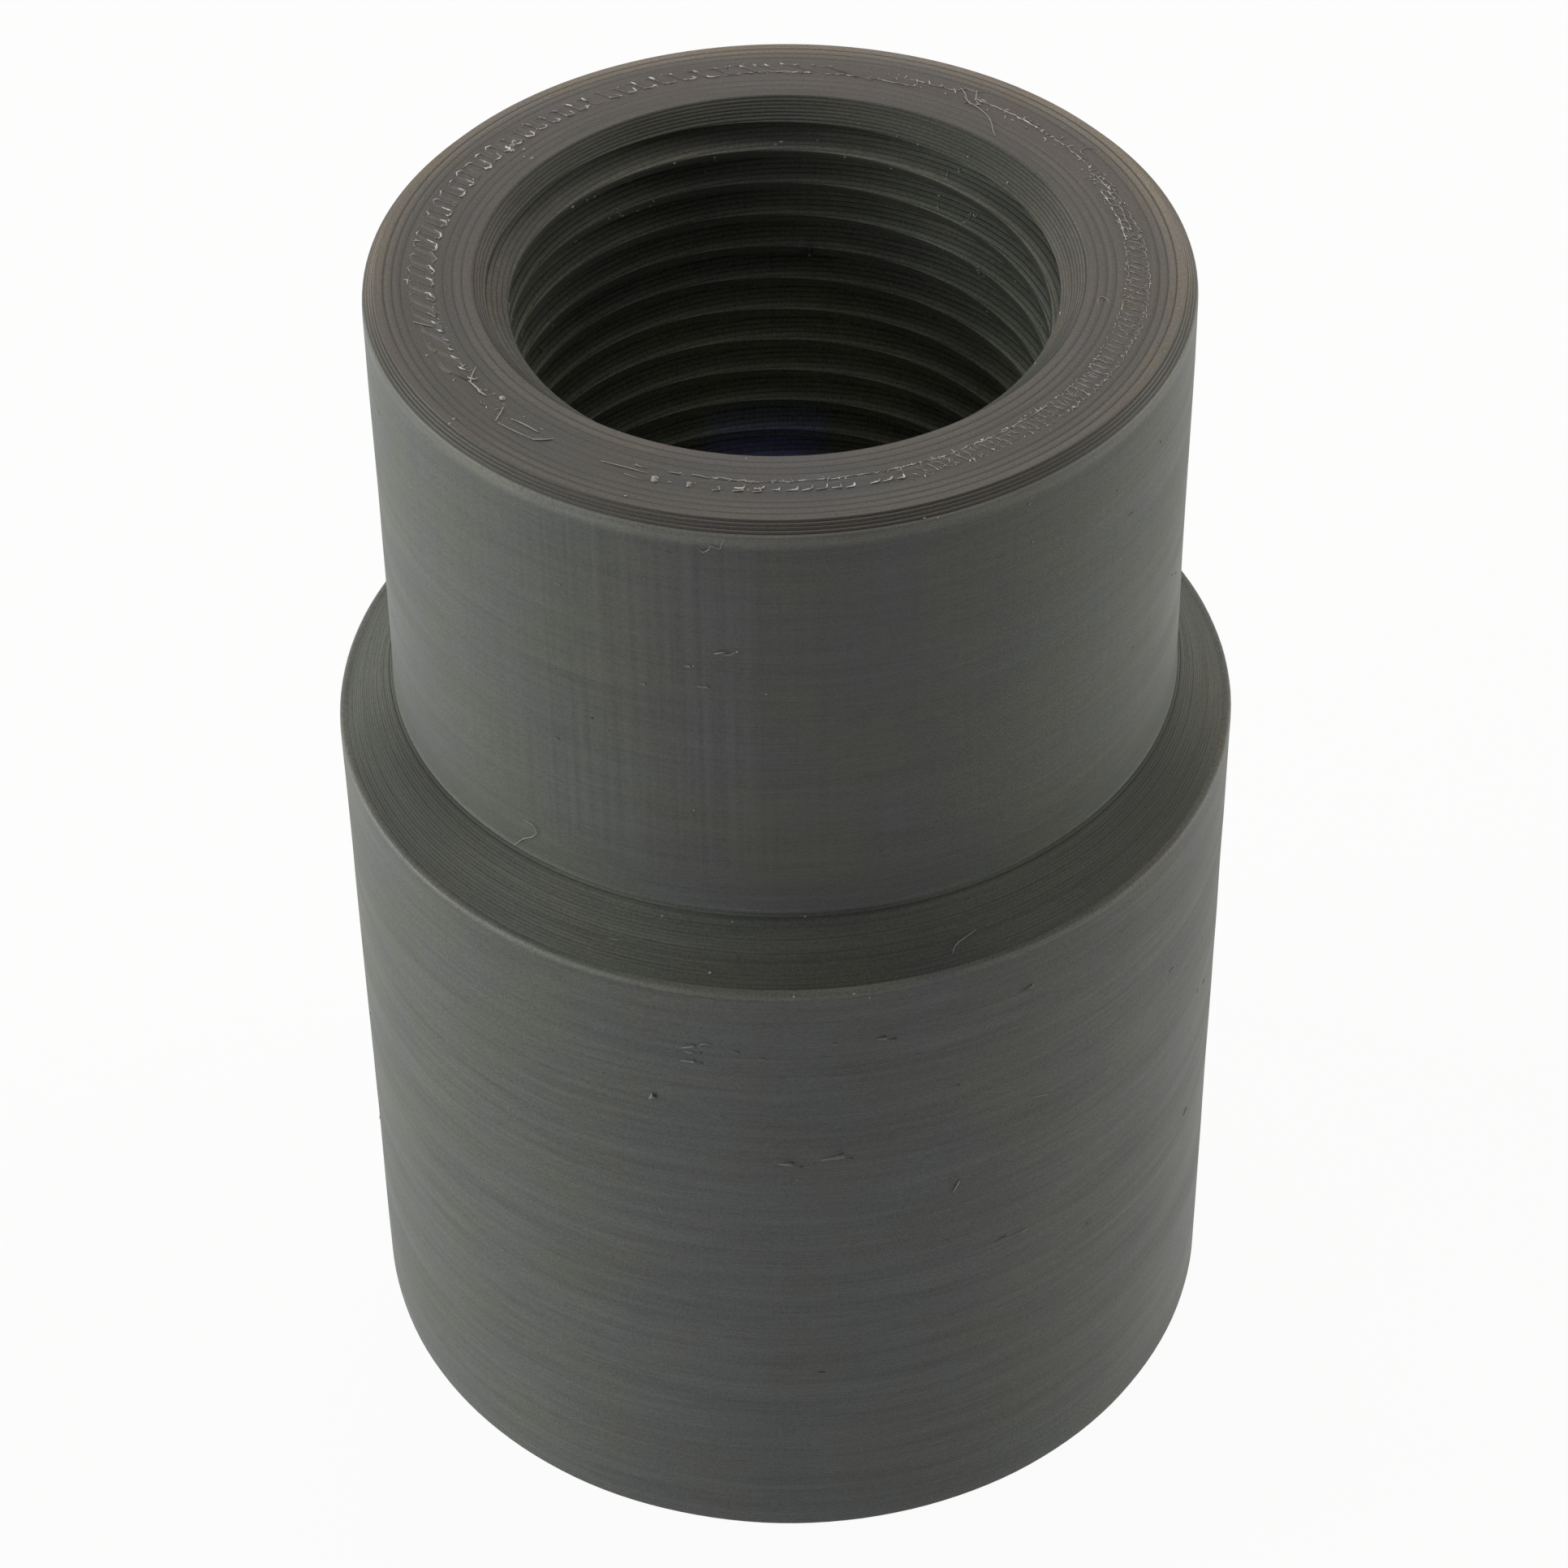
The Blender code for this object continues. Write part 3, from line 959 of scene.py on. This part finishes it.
# Stray hairs and broken strokes of the fill: thickness, then (bearing, radius, height) points, in degrees and
# millimetres. Points without a height lie on the top.
ON_TOP = 61.215
HAIRS = [
    (0.05, [(193.4, 16.45), (194.6, 16.0), (195.5, 15.67)]),
    (0.06, [(208.5, 14.94), (210.0, 15.3), (211.5, 15.64)]),
    (0.09, [(211.2, 15.66), (213.8, 15.62), (214.6, 15.66), (216.2, 15.60)]),
    (0.07, [(211.0, 15.50), (211.9, 15.70)]),
    (0.08, [(214.2, 15.52), (215.0, 15.72)]),
    (0.06, [(220.2, 15.5), (220.9, 15.75), (221.6, 16.1), (222.2, 16.38)]),
    (0.04, [(219.8, 15.9), (220.5, 15.55)]),
    (0.06, [(223.4, 15.78), (226.0, 15.66), (229.0, 15.65)]),
    (0.035, [(222.6, 16.36), (226.0, 16.26), (229.9, 16.13)]),
    (0.07, [(229.5, 16.15), (230.6, 15.95), (231.8, 15.62)]),
    (0.05, [(241.2, 15.77), (245.1, 15.71), (249.0, 15.74)]),
    (0.05, [(246.6, 15.41), (248.6, 15.42)]),
    (0.04, [(245.8, 16.12), (249.4, 16.22)]),
    (0.06, [(252.0, 15.38), (253.2, 15.38), (254.1, 15.38)]),
    (0.06, [(255.7, 15.30), (257.1, 15.33), (258.5, 15.40)]),
    (0.055, [(259.7, 15.27), (261.2, 15.32), (262.9, 15.41)]),
    (0.05, [(264.2, 15.41), (266.5, 15.49)]),
    (0.06, [(259.5, 16.17), (260.6, 16.09), (260.3, 15.87)]),
    (0.07, [(262.6, 16.11), (264.0, 16.04), (263.8, 15.82)]),
    (0.06, [(265.6, 16.09), (266.7, 16.05), (266.5, 15.80)]),
    (0.035, [(45.1, 14.1), (46.5, 14.35), (48.2, 14.75), (50.0, 15.1), (52.0, 15.32), (53.6, 15.45),
             (55.5, 15.6), (57.0, 15.85)]),
    (0.04, [(53.0, 15.62), (54.5, 15.85), (55.3, 16.2), (56.0, 16.6)]),
    (0.038, [(53.5, 15.5), (55.0, 15.5), (56.2, 15.75), (57.3, 16.1), (58.6, 16.35)]),
    (0.035, [(54.6, 16.75), (56.0, 16.45), (57.8, 16.42), (59.0, 16.0)]),
    (0.03, [(31.0, 16.2), (32.2, 16.3), (32.2, 16.7), (31.2, 17.0)]),
    (0.03, [(347.0, 14.25), (348.8, 14.2), (349.4, 14.35), (348.8, 14.6), (347.7, 14.69)]),
    (0.03, [(258.8, 18.51, 60.01), (259.6, 18.56, 59.82), (260.4, 18.57, 59.98), (260.7, 18.56, 60.17),
            (261.8, 18.55, 60.07), (262.1, 18.55, 60.32), (262.4, 18.53, 60.57)]),
    (0.05, [(260.8, 18.51, 54.28), (261.5, 18.54, 54.40), (262.2, 18.52, 54.45)]),
    (0.03, [(262.0, 18.52, 54.30), (262.8, 18.54, 54.33), (263.6, 18.51, 54.50)]),
    (0.035, [(228.5, 18.60, 39.43), (230.1, 18.56, 40.09), (232.0, 18.58, 40.60), (232.9, 18.58, 41.01),
             (232.6, 18.58, 41.26), (232.1, 18.56, 41.36), (230.4, 18.52, 41.30)]),
    (0.035, [(290.9, 20.47, 37.34), (291.6, 20.28, 37.60), (292.8, 20.18, 37.75), (294.8, 20.03, 37.88)]),
    (0.03, [(259.8, 20.48, 37.33), (260.6, 20.50, 37.31)]),
    (0.03, [(258.9, 21.26, 33.36), (259.2, 21.29, 33.60), (260.0, 21.30, 33.66), (260.7, 21.27, 33.58)]),
    (0.06, [(290.7, 21.26, 22.56), (291.1, 21.30, 22.92), (291.6, 21.28, 23.25)]),
    (0.03, [(301.4, 21.26, 26.99), (302.8, 21.28, 26.86), (304.2, 21.26, 26.65)]),
    (0.025, [(246.5, 20.03, 37.83), (247.4, 20.05, 37.86), (248.1, 19.98, 37.88)]),
]

# Crumbs on the thread, by bearing and height
CRUMBS = [
    (33.5, 58.2), (31.8, 57.8), (141.0, 57.3), (127.0, 57.5), (150.5, 53.3), (151.5, 52.4), (118.0, 57.4),
    (34.5, 56.0), (40.0, 55.2), (148.0, 56.6), (137.0, 59.0), (45.0, 57.4), (52.0, 57.3), (104.0, 58.9),
]


def tapered(thickness, places):
    """A smooth path through (bearing, radius, height) places, thinner at both ends."""
    path = []
    for i, place in enumerate(places):
        bearing, radius, height = (*place, ON_TOP)[:3]
        taper = 0.5 if i in (0, len(places) - 1) else 1.0
        path.append((at(bearing, radius * MM, height * MM), 0.55 * thickness * taper * MM))
    return smooth_path(path)


def make_hairs():
    """The stray hairs, and crumbs of a few short strokes each."""
    chance = random.Random(9)
    crumbs = []
    for bearing, height in CRUMBS + [(chance.uniform(0, 360), chance.uniform(53, 60)) for _ in range(16)]:
        for _ in range(chance.choice((2, 3, 4))):
            start = (bearing + chance.gauss(0, 0.9), height + chance.gauss(0, 0.12))
            places = []
            for step in range(3):
                around = start[0] + step * chance.uniform(0.1, 0.6)
                level = start[1] + chance.gauss(0, 0.05)
                places.append((around, bore_radius(around, level * MM) / MM - 0.01, level))
            crumbs.append(tapered(chance.uniform(0.03, 0.08), places))
    hairs = [tapered(*hair) for hair in HAIRS]
    return soft_strands("stray_hairs", hairs), soft_strands("stray_crumbs", crumbs)


def blob(name, bearing, radius, height, size, flatten=(1.0, 1.0, 1.0)):
    """A small rounded lump. Flatten gives its size outwards, along the wall and upwards."""
    deselect_all()
    centre = at(bearing, radius, height)
    bpy.ops.mesh.primitive_ico_sphere_add(subdivisions=2, radius=size, location=centre)
    lump = bpy.context.object
    lump.name = name
    bpy.ops.object.mode_set(mode="EDIT")
    bpy.ops.transform.resize(value=flatten, center_override=centre)
    bpy.ops.object.mode_set(mode="OBJECT")
    lump.data.transform(Matrix.Rotation(math.radians(bearing), 4, "Z"))
    return lump


def join_as(name, pieces):
    """Small lumps joined into one piece, with its place in its mesh."""
    deselect_all()
    for piece in pieces:
        piece.select_set(True)
    bpy.context.view_layer.objects.active = pieces[0]
    bpy.ops.object.join()
    bpy.ops.object.transform_apply(location=True, rotation=True, scale=True)
    bpy.ops.object.shade_smooth()
    pieces[0].name = name
    return pieces[0]


# Small pale lumps: bearing, radius, height and size, and those in the bore by bearing, height and size
NUBS = [
    (218.3, 15.16, 61.21, 0.13), (202.3, 16.51, 61.21, 0.06), (217.8, 17.6, 61.2, 0.07),
    (218.2, 17.9, 61.16, 0.07), (250.5, 15.93, 61.2, 0.14), (250.6, 16.10, 61.2, 0.11),
    (255.9, 15.88, 61.2, 0.10), (255.9, 16.05, 61.2, 0.11), (263.8, 13.86, 61.2, 0.05),
    (248.1, 17.46, 61.2, 0.05), (141.5, 15.55, 61.21, 0.13), (142.5, 15.3, 61.21, 0.1),
    (140.3, 15.72, 61.2, 0.11), (141.0, 14.95, 61.2, 0.07), (142.3, 14.2, 61.2, 0.08),
    (142.8, 14.55, 61.2, 0.06), (288.6, 18.36, 60.78, 0.06), (290.4, 18.42, 60.7, 0.05),
    (263.8, 18.5, 54.5, 0.05), (257.9, 18.5, 53.46, 0.05), (259.8, 18.5, 52.37, 0.05),
    (257.4, 18.5, 45.2, 0.045), (267.5, 18.5, 52.2, 0.045), (303.9, 18.5, 59.82, 0.05),
    (304.6, 18.5, 57.66, 0.045), (321.0, 18.5, 57.51, 0.045), (262.5, 18.87, 39.06, 0.06),
    (252.9, 19.0, 38.95, 0.05), (272.3, 18.7, 39.3, 0.05), (260.2, 20.43, 37.33, 0.06),
    (270.6, 21.2, 36.80, 0.05), (277.8, 21.22, 36.75, 0.05), (279.7, 21.24, 36.4, 0.05),
]
BORE_NUBS = [
    (349.6, 60.08, 0.09), (331.8, 60.08, 0.07), (73.1, 60.42, 0.04), (64.4, 60.26, 0.04),
    (59.4, 60.18, 0.05), (47.5, 60.42, 0.05), (35.5, 60.36, 0.06), (89.2, 59.36, 0.07), (90.5, 59.3, 0.06),
    (81.6, 59.4, 0.05), (75.1, 59.02, 0.05), (64.3, 58.9, 0.04), (113.5, 59.2, 0.07), (124.7, 59.0, 0.06),
    (134.6, 59.1, 0.05), (141.5, 59.3, 0.06), (54.6, 57.58, 0.05), (45.2, 57.48, 0.05), (33.7, 58.26, 0.07),
    (32.5, 57.92, 0.06), (37.0, 53.3, 0.05), (30.9, 55.54, 0.06), (107.2, 53.54, 0.04), (122.4, 53.5, 0.05),
    (150.3, 53.6, 0.06), (151.3, 52.9, 0.06), (130.7, 57.5, 0.06), (127.0, 57.3, 0.06),
    (123.0, 57.24, 0.05),
]


def make_nubs():
    """Small pale blobs of plastic: the ones that stand out by place, and a scatter of smaller ones."""
    chance = random.Random(5)
    blobs = list(NUBS)
    in_bore = list(BORE_NUBS)
    for _ in range(26):
        blobs.append((chance.uniform(0, 360), 18.5, chance.uniform(40.5, 60), chance.uniform(0.012, 0.028)))
        blobs.append((chance.uniform(0, 360), 21.25, chance.uniform(1, 36), chance.uniform(0.015, 0.035)))
        blobs.append((chance.uniform(0, 360), chance.uniform(13.9, 17.8), 61.2, chance.uniform(0.015, 0.03)))
        in_bore.append((chance.uniform(0, 360), chance.uniform(50, 60), chance.uniform(0.015, 0.035)))
    pieces = []
    for bearing, radius, height, size in blobs:
        squeeze = (chance.uniform(0.6, 1.0), chance.uniform(0.8, 1.6), chance.uniform(0.5, 1.0))
        pieces.append(blob("nub", bearing, radius * MM, height * MM, size * MM, squeeze))
    for bearing, height, size in in_bore:
        squeeze = (0.7, chance.uniform(0.8, 1.7), chance.uniform(0.5, 1.0))
        radius = bore_radius(bearing, height * MM)
        pieces.append(blob("nub", bearing, radius, height * MM, size * MM, squeeze))
    return join_as("stray_nubs", pieces)


# Drawn-out lumps on the body's wall: (bearing, height) of the tail and of the thick end, and thickness. Then
# the painted shadows beside them, and two lumps on the neck.
RAISED_MARKS = [
    ((256.5, 33.12), (258.5, 33.40), 0.055), ((256.6, 32.33), (258.5, 32.40), 0.065),
    ((257.0, 32.95), (258.3, 32.98), 0.045), ((280.6, 33.76), (281.8, 33.74), 0.065),
    ((285.5, 32.25), (285.9, 32.25), 0.055), ((275.2, 33.71), (275.7, 33.72), 0.05),
    ((252.3, 29.46), (253.1, 29.80), 0.13), ((273.6, 26.23), (276.6, 26.47), 0.10),
    ((268.3, 26.05), (270.4, 26.07), 0.09), ((299.2, 34.21), (301.3, 34.37), 0.06),
    ((297.8, 18.09), (301.8, 17.97), 0.04), ((270.5, 25.0), (270.8, 25.0), 0.05),
    ((253.0, 22.2), (253.3, 22.2), 0.05), ((262.6, 33.30), (263.9, 33.22), 0.035),
    ((266.0, 32.9), (267.0, 32.9), 0.03), ((260.4, 29.0), (262.0, 28.95), 0.03),
]
PAINTED_SHADOW_MARKS = [
    ((258.6, 33.08), (259.3, 33.00), 0.05), ((258.7, 32.38), (259.4, 32.33), 0.05),
    ((282.0, 33.62), (283.1, 33.56), 0.05), ((276.7, 26.30), (277.6, 26.18), 0.07),
    ((270.5, 25.95), (271.4, 25.85), 0.06), ((258.8, 22.50), (258.3, 22.49), 0.05),
    ((295.2, 18.02), (298.6, 18.21), 0.05), ((299.4, 34.12), (301.0, 34.24), 0.04),
    ((258.4, 22.48), (262.6, 22.52), 0.02), ((267.0, 22.56), (262.4, 22.52), 0.02),
]
NECK_MARKS = [((256.6, 53.41), (257.6, 53.43), 0.045), ((258.3, 52.36), (260.0, 52.40), 0.045)]

# Small dark blobs of painted shade, which stand for hollows: bearing, height and size
BODY_SPOTS = [(312.2, 15.79, 0.10), (246.0, 20.2, 0.06)]
NECK_SPOTS = [(243.0, 49.22, 0.06), (238.7, 41.99, 0.09), (300.0, 47.5, 0.05)]
BORE_SPOTS = [(83.3, 53.5, 0.2), (83.6, 53.15, 0.14), (128.3, 56.8, 0.14)]


def smear(radius, start, end, thickness):
    """A drawn-out lump on a wall, from a thin tail at one (bearing, height) to a thick end at another."""
    path = []
    for share, size in ((0.0, 0.2), (0.45, 0.55), (0.8, 1.0), (0.95, 1.0), (1.0, 0.5)):
        bearing = start[0] + (end[0] - start[0]) * share
        height = start[1] + (end[1] - start[1]) * share
        path.append((at(bearing, radius, height * MM), 1.35 * size * thickness * MM))
    return path


def make_wall_marks():
    """Small drawn-out lumps on the walls, pale with a painted highlight, painted shadows beside them, and
    small dark blobs of painted shade for hollows.
    """
    chance = random.Random(7)
    pale = [smear(BODY_RADIUS, *mark) for mark in RAISED_MARKS]
    pale += [smear(NECK_RADIUS, *mark) for mark in NECK_MARKS]
    dark = [smear(BODY_RADIUS - 0.01 * MM, start, end, 0.8 * size) for start, end, size in PAINTED_SHADOW_MARKS]
    for _ in range(60):
        radius, low, high = chance.choice(((BODY_RADIUS, 1.0, 36.0), (NECK_RADIUS, 40.5, 59.8)))
        start = (chance.uniform(0, 360), chance.uniform(low, high))
        end = (start[0] + chance.uniform(0.2, 1.6), start[1] + chance.gauss(0, 0.05))
        kind = pale if chance.random() > 0.35 else dark
        kind.append(smear(radius, start, end, chance.uniform(0.010, 0.028)))
    marks = soft_strands("wall_marks", pale)
    streaks = soft_strands("painted_shadow_streaks", dark)

    spots = []
    for places, wall, flatten in (
        (BODY_SPOTS, BODY_RADIUS - 0.012 * MM, (0.1, 1.0, 0.8)),
        (NECK_SPOTS, NECK_RADIUS - 0.01 * MM, (0.2, 1.0, 0.8)),
        (BORE_SPOTS, None, (0.45, 0.8, 1.5)),
    ):
        for bearing, height, size in places:
            radius = wall or bore_radius(bearing, height * MM)
            spots.append(blob("hollow", bearing, radius, height * MM, size * MM, flatten))
    return marks, streaks, join_as("painted_shade_spots", spots)


# The photograph's camera: where it is, what it faces, how it is turned and its lens in millimetres
CAMERA_PLACE = Vector((0, -0.16444, 0.17839))
CAMERA_AIM = Vector((-0.00012, 0, 0.03041))
CAMERA_ROLL = math.radians(-0.781)
FOCAL_LENGTH = 104.22
SENSOR_WIDTH = 36

# How bright the world is as a light, and how much of the white studio shows on the floor
AMBIENT = 0.07
FLOOR_WHITENESS = 0.95

# Soft lamps: name, bearing, elevation, distance, size, power and colour. Bearing 0 is towards the camera, and
# 90 is to its right.
LAMP_AIM = Vector((0, 0, 0.035))
LAMPS = [
    ("left_lamp", -95, 15, 0.7, 0.35, 3.85, (0.96, 1.0, 0.92)),
    ("right_lamp", 105, 15, 0.7, 0.35, 2.75, (1.0, 1.0, 0.88)),
    ("left_front_lamp", -60, 15, 0.7, 0.3, 1.0, (1.0, 0.98, 1.0)),
    ("top_lamp", 180, 65, 0.7, 0.4, 2.0, (1.0, 0.86, 0.82)),
]


def make_camera():
    """The camera where the photograph was taken from, turned a little to its left."""
    lens = bpy.data.cameras.new("camera")
    with_settings(lens, {"lens": FOCAL_LENGTH, "sensor_width": SENSOR_WIDTH})
    camera = bpy.data.objects.new("camera", lens)
    bpy.context.scene.collection.objects.link(camera)
    facing = (CAMERA_AIM - CAMERA_PLACE).to_track_quat("-Z", "Y").to_matrix()
    roll = Matrix.Rotation(CAMERA_ROLL, 3, "Z")
    camera.matrix_world = Matrix.Translation(CAMERA_PLACE) @ (facing @ roll).to_4x4()
    bpy.context.scene.camera = camera


def seen_directly(tree):
    """A value that is 1 for camera, glossy and transmission rays, which see a white studio."""
    path = node(tree, "ShaderNodeLightPath")
    camera, glossy, transmission = [
        Value(tree, path.outputs["Is %s Ray" % kind]) for kind in ("Camera", "Glossy", "Transmission")]
    return camera.math("MAXIMUM", glossy).math("MAXIMUM", transmission)


def mixed_shader(tree, share, first, second, output):
    """Send a mix of two shaders to a tree's output node."""
    mix = node(tree, "ShaderNodeMixShader")
    feed(tree, mix.inputs[0], share)
    tree.links.new(first.outputs[0], mix.inputs[1])
    tree.links.new(second.outputs[0], mix.inputs[2])
    tree.links.new(mix.outputs[0], tree.nodes[output].inputs["Surface"])


def make_world():
    """A white studio to look at, and a soft grey one to be lit by."""
    world = bpy.data.worlds.new("studio")
    world.use_nodes = True
    tree = world.node_tree
    lit = tree.nodes["Background"]
    white = node(tree, "ShaderNodeBackground")
    to_camera = Value(tree, node(tree, "ShaderNodeLightPath").outputs["Is Camera Ray"])
    for background, strength in ((lit, AMBIENT), (white, to_camera * 0.2 + 0.8)):
        feed(tree, background.inputs["Color"], (1.0, 1.0, 1.0))
        feed(tree, background.inputs["Strength"], strength)
    mixed_shader(tree, seen_directly(tree), lit, white, "World Output")
    bpy.context.scene.world = world


def make_floor():
    """A plain pale floor that keeps a faint shadow."""
    deselect_all()
    bpy.ops.mesh.primitive_circle_add(vertices=64, radius=1.2, fill_type="NGON", location=(0, 0, -0.0001))
    floor = bpy.context.object
    floor.name = "studio_floor"
    material, tree, shader = new_material("pale_floor", 0.1)
    feed(tree, shader.inputs["Base Color"], (0.8, 0.8, 0.8))
    feed(tree, shader.inputs["Roughness"], 0.9)
    white = node(tree, "ShaderNodeEmission")
    white.inputs["Strength"].default_value = 1.0
    mixed_shader(tree, seen_directly(tree) * FLOOR_WHITENESS, shader, white, "Material Output")
    floor.data.materials.append(material)


def soft_lamp(name, bearing, elevation, distance, size, power, colour):
    """A square soft lamp that faces the middle of the adapter."""
    side = math.radians(bearing)
    rise = math.radians(elevation)
    away = Vector((math.sin(side) * math.cos(rise), -math.cos(side) * math.cos(rise), math.sin(rise)))
    light = bpy.data.lights.new(name, "AREA")
    with_settings(light, {"shape": "SQUARE", "size": size, "energy": power, "color": colour})
    lamp = bpy.data.objects.new(name, light)
    bpy.context.scene.collection.objects.link(lamp)
    facing = away.to_track_quat("Z", "Y").to_matrix().to_4x4()
    lamp.matrix_world = Matrix.Translation(LAMP_AIM + away * distance) @ facing


bpy.context.scene.view_settings.view_transform = "Standard"
make_camera()
make_world()
make_floor()
for lamp in LAMPS:
    soft_lamp(*lamp)

print_tone = print_tone_group()
skin = make_skin()
skin.data.materials.append(skin_material(layer_lines_group(), print_tone, place_colour_group()))
strands, loops, threads = make_fill()
hairs, crumbs = make_hairs()
nubs = make_nubs()
marks, streaks, spots = make_wall_marks()

# Finish of the added pieces: material, colour, and the duller colour that it fades to here and there
for pieces, name, colour, dull in (
    ((strands,), "strand_plastic", (0.088, 0.085, 0.078), None),
    ((loops,), "stretched_pale_plastic", (0.61, 0.605, 0.59), (0.190, 0.186, 0.176)),
    ((threads,), "soft_pale_plastic", (0.32, 0.315, 0.30), None),
    ((hairs, nubs), "hair_plastic", (0.32, 0.318, 0.305), None),
    ((crumbs,), "crumb_plastic", (0.22, 0.23, 0.20), None),
    # Pale colour of the raised marks: a painted highlight
    ((marks,), "raised_plastic_painted_highlight", (0.150, 0.153, 0.146), None),
    # Dark colour of the painted shadows beside the lumps
    ((streaks,), "painted_shadow_plastic", (0.044, 0.044, 0.041), None),
    # Near-black colour of the blobs of painted shade
    ((spots,), "painted_shade_plastic", (0.022, 0.022, 0.021), None),
):
    plastic = strand_material(name, colour, print_tone, dull)
    for piece in pieces:
        piece.data.materials.append(plastic)

for piece in (skin, strands, loops, threads, hairs, crumbs, nubs, marks, streaks, spots):
    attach(piece, "root")
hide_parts("adapter_body")
